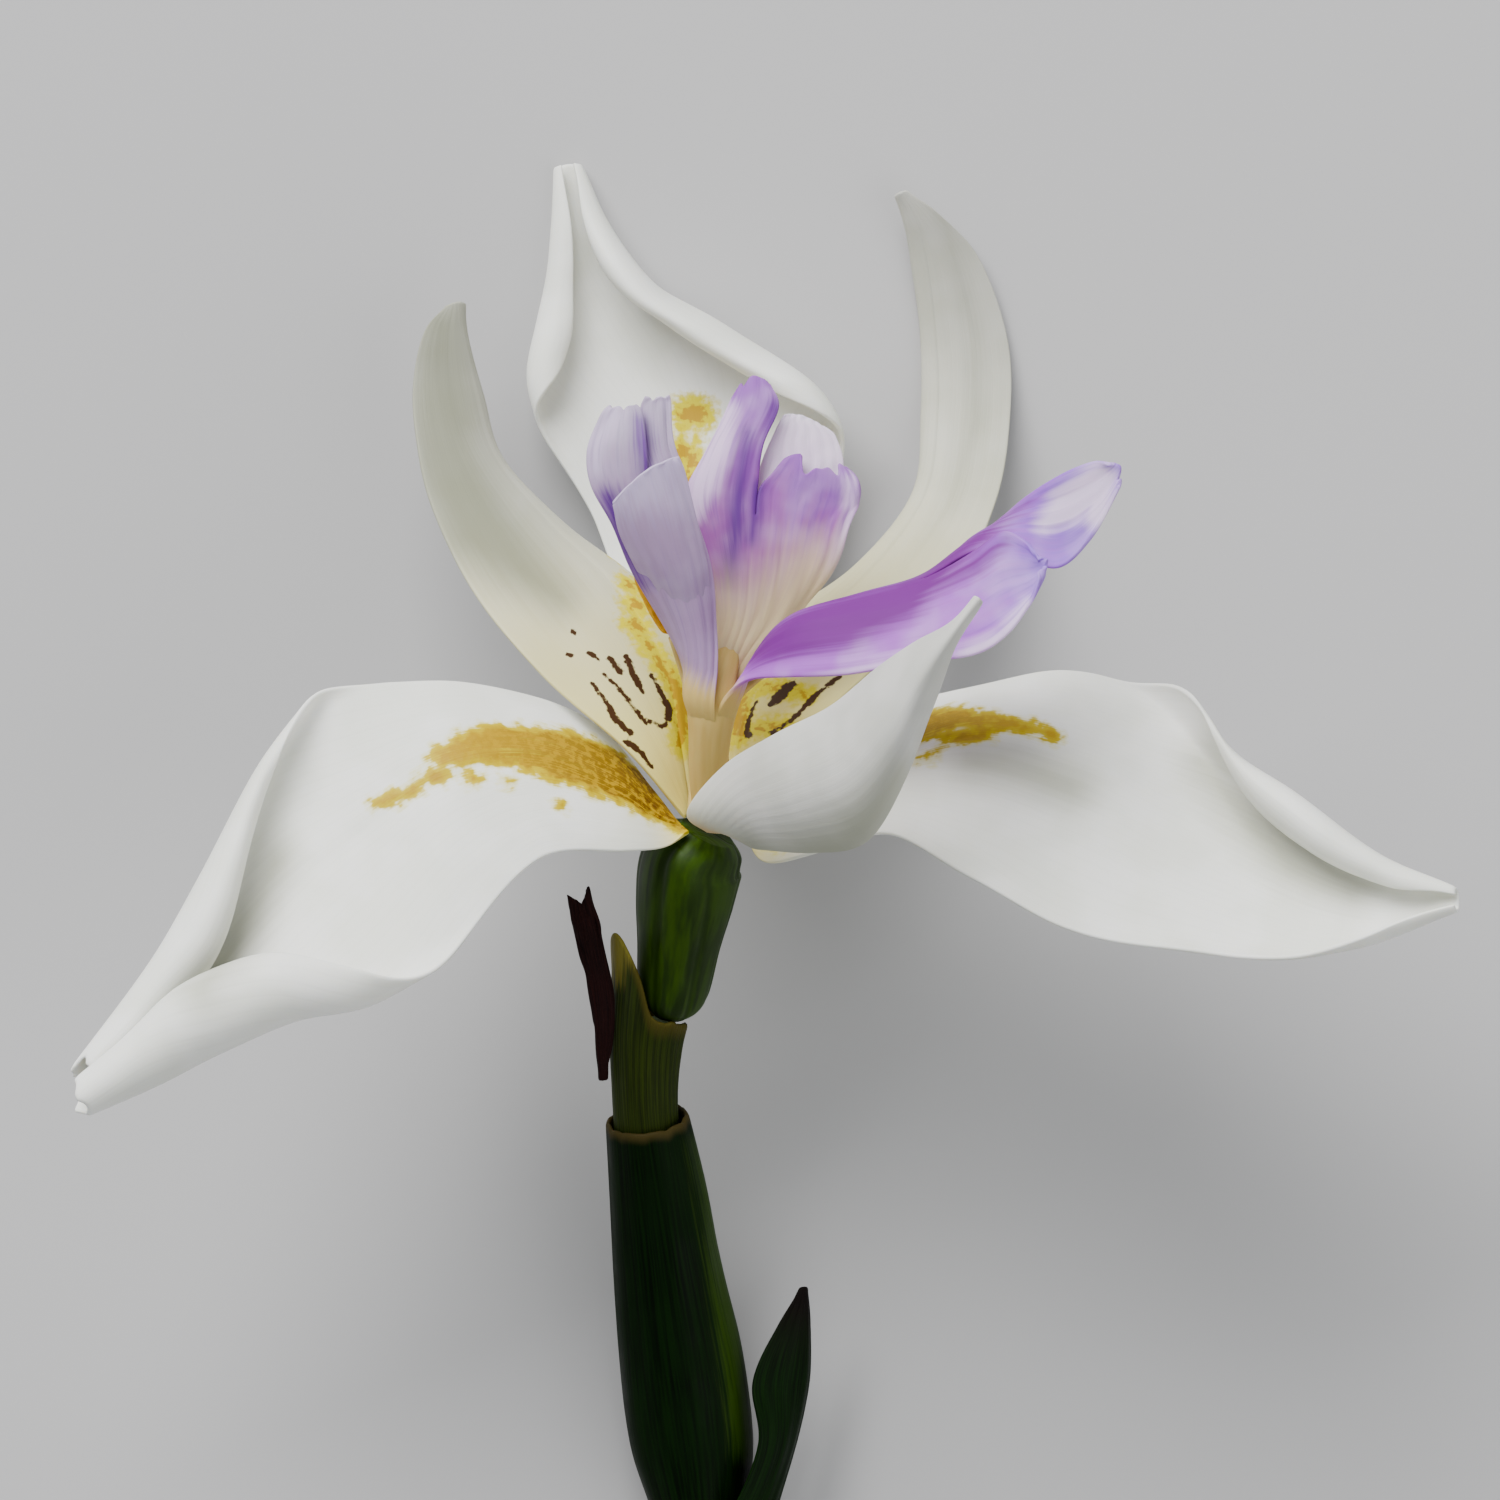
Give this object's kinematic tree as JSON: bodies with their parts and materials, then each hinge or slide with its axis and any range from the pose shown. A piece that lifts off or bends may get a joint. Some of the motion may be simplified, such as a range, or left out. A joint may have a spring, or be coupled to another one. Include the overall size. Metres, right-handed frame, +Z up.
{
  "type": "african iris flower",
  "caption": "Open white African iris flower as picked, lying on its back: broad and narrow tepals, violet style arms, green ovary, sheathing spathes and a cut stem.",
  "frame": {"origin": "centre of the bounding box, on the surface that the flower lies on", "axes": "+Z up from that surface, +Y from the cut stem towards the back tepal, +X towards the right outer tepal"},
  "size_m": [0.0965, 0.1052, 0.0475],
  "materials": {
    "tepal": "soft satin white petal",
    "style_arm": "soft satin violet petal",
    "column": "smooth beige plant tissue",
    "anther": "powdery yellow",
    "ovary": "waxy dark green",
    "stem": "waxy green",
    "spathe": "dull olive and tan",
    "outer_spathe": "satin very dark green",
    "dry_bract": "dry matt dark brown"
  },
  "bodies": {
    "root": {"outer_tepal_left": "tepal", "outer_tepal_right": "tepal", "outer_tepal_back": "tepal", "inner_tepal_left": "tepal", "inner_tepal_right": "tepal", "inner_tepal_front": "tepal", "style_column": "column", "style_branch_left": "style_arm", "style_branch_back": "style_arm", "style_branch_right": "style_arm", "filament_left": "column", "filament_back": "column", "filament_right": "column", "anther_left": "anther", "anther_back": "anther", "anther_right": "anther", "ovary": "ovary", "pedicel": "stem", "inner_spathe": "spathe", "outer_spathe": "outer_spathe", "flowering_stem": "stem", "withered_bract": "dry_bract", "lower_bract": "outer_spathe"}
  },
  "joints": []
}
